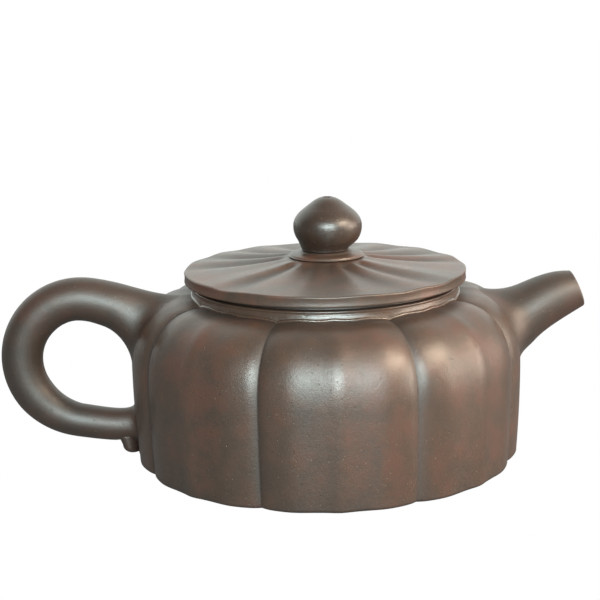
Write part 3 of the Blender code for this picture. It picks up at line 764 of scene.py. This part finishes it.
def knob():
    """The bud: a belly on a short neck, an ogee up to a flat tip, and the vent hole.

    It sits a little off the lid's middle, as a knob set on by hand does."""
    tip = bezier([(1.55, 74.66), (3.3, 74.3), (4.7, 73.0), (6.3, 71.8)], 14)
    shoulder = bezier([(6.3, 71.8), (8.3, 70.3), (9.85, 68.8), (9.85, 66.4)], 18)
    belly = bezier([(9.85, 66.4), (9.85, 63.4), (8.2, 61.9), (7.0, 60.35)], 18)
    neck = bezier([(7.0, 60.35), (6.75, 60.0), (6.7, 59.9), (6.75, KNOB_BOTTOM)], 5)
    vent = [(VENT_RADIUS, 60.0), (VENT_RADIUS, 70.0), (VENT_RADIUS, 74.0), (1.0, 74.35), (1.25, 74.55)]
    outline = np.concatenate([tip, shoulder[1:], belly[1:], neck[1:], [(3.0, KNOB_BOTTOM)], vent])
    outline = refined(outline, 1.2)
    radius, height = outline[:, :1], outline[:, 1:]
    rings = turned_rings(outline, 120)
    rings[:, :, 0] += KNOB_OFFSET * ease((height - KNOB_BOTTOM) / 3.0)
    # The vent hole is painted dark as shade, and a dark ring at the knob's foot, where it meets the seat, is
    # painted shade.
    grime_and_shade = np.where(radius < 1.3, 0.9, 0.0) + 0.6 * bump(height - KNOB_BOTTOM - 0.2, 0.6)
    return skin("clay_knob", rings, grime_and_shade=grime_and_shade, wear_and_highlight=0.45)


# ---- clay materials ----


class Wire:
    """A shader socket that Python's arithmetic turns into Math nodes."""

    def __init__(self, graph, socket):
        self.graph = graph
        self.socket = socket

    def __add__(self, other):
        return self.graph.maths("ADD", self, other)

    def __radd__(self, other):
        return self.graph.maths("ADD", other, self)

    def __sub__(self, other):
        return self.graph.maths("SUBTRACT", self, other)

    def __rsub__(self, other):
        return self.graph.maths("SUBTRACT", other, self)

    def __mul__(self, other):
        return self.graph.maths("MULTIPLY", self, other)

    def __rmul__(self, other):
        return self.graph.maths("MULTIPLY", other, self)


class Graph:
    """The node tree of one material or of the world, built by method calls."""

    def __init__(self, tree):
        self.tree = tree

    def node(self, kind, settings=None, inputs=None, output=0):
        """A node: its settings first, then values or wires for its inputs."""
        made = self.tree.nodes.new(kind)
        for key, value in (settings or {}).items():
            setattr(made, key, value)
        for key, value in (inputs or {}).items():
            self.connect(made.inputs[key], value)
        return Wire(self, made.outputs[output])

    def connect(self, socket, value):
        """Links a wire to an input, or sets the input to a plain value."""
        if isinstance(value, Wire):
            self.tree.links.new(value.socket, socket)
        else:
            socket.default_value = value

    def maths(self, operation, first, second):
        """A Math node on two values or wires."""
        return self.node("ShaderNodeMath", {"operation": operation}, {0: first, 1: second})

    def noise(self, coordinates, scale, detail=2.0, roughness=0.5):
        """Noise from 0 to 1; the scale is in features per millimetre."""
        inputs = {"Vector": coordinates, "Scale": scale, "Detail": detail, "Roughness": roughness}
        return self.node("ShaderNodeTexNoise", None, inputs)

    def spread(self, value, low, high, start=0.0, end=1.0):
        """The value's range from low to high, spread smoothly over start to end."""
        settings = {"interpolation_type": "SMOOTHSTEP", "clamp": True}
        inputs = {0: value, 1: low, 2: high, 3: start, 4: end}
        return self.node("ShaderNodeMapRange", settings, inputs)

    def mix(self, share, first, second):
        """Two colours mixed by a share."""
        return self.node("ShaderNodeMix", {"data_type": "RGBA"}, {0: share, 6: first, 7: second}, 2)

    def point_value(self, name):
        """A value that the mesh holds at each of its points."""
        return self.node("ShaderNodeAttribute", {"attribute_name": name}, None, 2)


def colour(red, green, blue, shade=1.0):
    """An opaque colour, darkened or lightened by a shade."""
    return (red * shade, green * shade, blue * shade, 1.0)


def clay(name, warm=0.5, roughness=0.40, grain=1.0, tool_lines=0.0, shade=0.30):
    """Fired clay: brown with purple-grey and red clouds, sandy grain, pits and pale specks.

    warm moves the clouds towards red, grain scales the sand, tool_lines adds fine
    rings round the axis, and shade darkens or lightens the whole."""
    material = bpy.data.materials.new(name)
    material.use_nodes = True
    graph = Graph(material.node_tree)
    shader = graph.tree.nodes["Principled BSDF"]
    place = graph.node("ShaderNodeTexCoord", None, None, 3)
    place = graph.node("ShaderNodeVectorMath", {"operation": "SCALE"}, {0: place, 3: 1 / MM})
    # Two values from the mesh: the first darkens the clay for dirt and for painted shade in creases,
    # recesses and gaps; the second lightens it for wear and for painted highlights.
    grime_and_shade = graph.point_value("grime_and_shade")
    wear_and_highlight = graph.point_value("wear_and_highlight")

    clouds = graph.noise(place, 0.045, 3.0, 0.55)
    patches = graph.noise(place, 0.16, 3.0, 0.6)
    fine = graph.noise(place, 1.3, 3.0, 0.65)
    sand = graph.noise(place, 3.4, 2.0, 0.6)
    pale_specks = graph.spread(graph.noise(place, 2.1, 1.0, 0.5), 0.745, 0.79)
    pits = graph.spread(graph.noise(place, 1.05, 0.0, 0.5), 0.195, 0.165)

    brown = colour(0.165, 0.084, 0.052, shade)
    red = colour(0.245, 0.090, 0.054, shade)
    grey = colour(0.090, 0.060, 0.044, shade)
    tan = colour(0.160, 0.100, 0.075, shade)
    # A lighter tan for wear and for painted highlights on ridges, rims and edges.
    polish_and_highlight = colour(0.190, 0.115, 0.085, shade)
    red_share = graph.spread(clouds * 0.6 + patches * 0.4, 0.60 - 0.25 * warm, 0.80 - 0.25 * warm)
    grey_share = graph.spread(patches * 0.5 + clouds * 0.5, 0.36, 0.56, 1.0, 0.0)
    base = graph.mix(red_share, brown, red)
    base = graph.mix(grey_share * 0.7, base, grey)
    base = graph.mix(graph.spread(fine, 0.35, 0.70, 0.0, 0.30), base, tan)
    base = graph.mix(graph.spread(sand, 0.42, 0.30, 0.0, 0.35), base, colour(0.012, 0.008, 0.006))
    base = graph.mix(pale_specks * 0.35, base, colour(0.26, 0.19, 0.13))
    base = graph.mix(pits * 0.5, base, colour(0.02, 0.014, 0.011))
    # Dirt and painted shade: nearly black where the mesh marks creases, recesses, gaps and bores.
    base = graph.mix(grime_and_shade * 0.55, base, colour(0.010, 0.006, 0.005))
    # Wear and painted highlights: lighter on ridges, the neck's bead, fold crests, rims and edges.
    base = graph.mix(wear_and_highlight * 0.22, base, polish_and_highlight)
    graph.connect(shader.inputs["Base Color"], base)

    rough = roughness + (clouds - 0.5) * 0.10 + (fine - 0.5) * 0.16 + grime_and_shade * 0.15 - wear_and_highlight * 0.05
    graph.connect(shader.inputs["Roughness"], rough)

    height = (fine - 0.5) * (0.034 * grain) + (sand - 0.5) * (0.034 * grain) + (patches - 0.5) * 0.10
    height = height + pale_specks * (0.02 * grain) - pits * 0.06
    if tool_lines:
        stretch = {0: place, 1: (0.06, 0.06, 3.2)}
        flattened = graph.node("ShaderNodeVectorMath", {"operation": "MULTIPLY"}, stretch)
        height = height + (graph.noise(flattened, 1.0, 3.0, 0.6) - 0.5) * tool_lines
    normal = graph.node("ShaderNodeBump", None, {"Strength": 1.0, "Distance": MM, "Height": height})
    graph.connect(shader.inputs["Normal"], normal)
    shader.inputs["Specular IOR Level"].default_value = 0.72
    shader.inputs["Metallic"].default_value = 0.0
    return material


# ---- stage, light and camera ----


CAMERA_LENS = 84.78
CAMERA_SENSOR = 36.0
CAMERA_SHIFT = -0.1
CAMERA_PLACE = (0.0099, -0.4, 0.1336)
CAMERA_HEADING = -4.51
CAMERA_DOWN = 12.57
CAMERA_ROLL = -0.65

LAMP_TARGET_HEIGHT = 0.035
FLOOR_GLOW = 0.2
ROOM_STRENGTH = 1.7


def floor_material():
    """A plain pale surface, white to look at, that lights the pot only softly."""
    material = bpy.data.materials.new("pale_floor")
    material.use_nodes = True
    graph = Graph(material.node_tree)
    shader = graph.tree.nodes["Principled BSDF"]
    shader.inputs["Base Color"].default_value = colour(0.08, 0.08, 0.08)
    shader.inputs["Roughness"].default_value = 0.9
    shader.inputs["Specular IOR Level"].default_value = 0.0
    shader.inputs["Emission Color"].default_value = colour(1.0, 1.0, 0.99)
    shader.inputs["Emission Strength"].default_value = FLOOR_GLOW
    seen = graph.node("ShaderNodeLightPath")
    white = graph.node("ShaderNodeEmission", None, {"Color": colour(1.0, 1.0, 1.0), "Strength": 1.0})
    pale = Wire(graph, shader.outputs["BSDF"])
    shown = graph.node("ShaderNodeMixShader", None, {0: seen, 1: pale, 2: white})
    graph.connect(graph.tree.nodes["Material Output"].inputs["Surface"], shown)
    return material


def floor():
    """A round pale floor of 3 m radius that the pot stands on."""
    columns = 96
    rings = turned_rings(np.array([(0.5, 0.0), (200.0, 0.0), (3000.0, 0.0)]), columns)
    middle = np.arange(columns)[None, ::-1]
    item = mesh_object("floor", rings.reshape(-1, 3), [grid_faces(len(rings), columns, False), middle], {})
    item.data.materials.append(floor_material())


def direction(azimuth, elevation):
    """A unit way from the pot: azimuth from the front towards the spout, both in degrees."""
    turn = np.radians(azimuth + FRONT_ANGLE)
    rise = np.radians(elevation)
    return Vector((np.cos(turn) * np.cos(rise), np.sin(turn) * np.cos(rise), np.sin(rise)))


def softbox(name, azimuth, elevation, distance, width, height, power, tint):
    """A rectangular lamp that faces the pot. Sizes are in metres, power in watts."""
    light = bpy.data.lights.new(name, "AREA")
    light.shape = "RECTANGLE"
    light.size = width
    light.size_y = height
    light.energy = power
    light.color = tint
    item = bpy.data.objects.new(name, light)
    way = direction(azimuth, elevation)
    item.location = Vector((0, 0, LAMP_TARGET_HEIGHT)) + way * distance
    item.rotation_mode = "QUATERNION"
    item.rotation_quaternion = way.to_track_quat("Z", "Y")
    bpy.context.scene.collection.objects.link(item)


def surroundings():
    """A pale room: bright behind the pot, dim in front, warmer and less dim to the right."""
    world = bpy.data.worlds.new("pale_room")
    bpy.context.scene.world = world
    world.use_nodes = True
    graph = Graph(world.node_tree)
    sky = graph.tree.nodes["Background"]
    way = graph.node("ShaderNodeTexCoord", None, None, 0)
    across, back = (graph.node("ShaderNodeSeparateXYZ", None, {0: way}, output) for output in (0, 1))
    front = graph.mix(graph.spread(across, -0.9, 0.9), colour(0.11, 0.11, 0.105), colour(0.30, 0.25, 0.22))
    room = graph.mix(graph.spread(back, 0.15, 0.7), front, colour(0.94, 1.0, 0.95))
    graph.connect(sky.inputs["Color"], room)
    sky.inputs["Strength"].default_value = ROOM_STRENGTH


def camera():
    """The camera in front of the pot, a little to the handle's side and above."""
    data = bpy.data.cameras.new("camera")
    data.sensor_width = CAMERA_SENSOR
    data.lens = CAMERA_LENS
    data.shift_x = CAMERA_SHIFT
    data.clip_start = 0.01
    data.clip_end = 20.0
    item = bpy.data.objects.new("camera", data)
    heading = Matrix.Rotation(np.radians(CAMERA_HEADING), 4, "Z")
    tilt = Matrix.Rotation(np.radians(90 - CAMERA_DOWN), 4, "X")
    roll = Matrix.Rotation(np.radians(CAMERA_ROLL), 4, "Z")
    item.matrix_world = heading @ Matrix.Translation(Vector(CAMERA_PLACE)) @ tilt @ roll
    bpy.context.scene.collection.objects.link(item)
    bpy.context.scene.camera = item


# ---- putting it together ----


def dress(item, body, nodes, material):
    """Gives a piece its body and its clay, and hides the CAD nodes that it stands for."""
    item.data.materials.append(material)
    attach(item, body)
    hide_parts(*nodes)


def main():
    """Makes the clays, the eleven new pieces, the strainer's finish and the stage."""
    wall_clay = clay("wall_clay", warm=0.5, roughness=0.45, shade=0.27)
    neck_clay = clay("neck_clay", warm=0.4, roughness=0.31, tool_lines=0.05)
    spout_clay = clay("spout_clay", warm=0.62, roughness=0.54, shade=0.17)
    handle_clay = clay("handle_clay", warm=0.5, roughness=0.52, grain=0.8, shade=0.15)
    lid_clay = clay("lid_clay", warm=0.6, roughness=0.42)
    knob_clay = clay("knob_clay", warm=0.35, roughness=0.40, tool_lines=0.04, shade=0.15)
    raw_clay = clay("raw_clay", warm=0.3, roughness=0.62, grain=1.8, tool_lines=0.12, shade=0.30)

    dress(body_wall(), "pot", ["body_wall"], wall_clay)
    dress(neck_band(), "pot", ["neck_band"], neck_clay)
    dress(mouth_ring(), "pot", ["mouth_ring"], neck_clay)
    dress(base_slab(), "pot", ["base_slab"], raw_clay)
    dress(spout(), "pot", ["spout"], spout_clay)
    dress(handle(), "pot", ["handle"], handle_clay)
    dress(handle_tail(), "pot", ["handle_tail"], handle_clay)
    dress(lid_plate(), "lid", ["lid_plate"], lid_clay)
    dress(lid_flange(), "lid", ["lid_flange"], raw_clay)
    dress(knob_seat(), "lid", ["knob_seat"], lid_clay)
    dress(knob(), "lid", ["knob"], knob_clay)
    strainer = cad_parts["strainer"]
    strainer.data.materials.clear()
    strainer.data.materials.append(raw_clay)

    floor()
    surroundings()
    softbox(
        "cool_softbox", azimuth=4, elevation=19, distance=1.1, width=0.66, height=0.34,
        power=25, tint=(0.84, 1.0, 0.985),
    )
    softbox(
        "side_softbox", azimuth=84, elevation=6, distance=1.2, width=0.7, height=0.5,
        power=14, tint=(1.0, 0.84, 0.70),
    )
    softbox(
        "warm_softbox", azimuth=62, elevation=35, distance=1.0, width=0.36, height=0.30,
        power=12, tint=(1.0, 0.82, 0.62),
    )
    camera()
    bpy.context.scene.view_settings.view_transform = "Standard"


main()
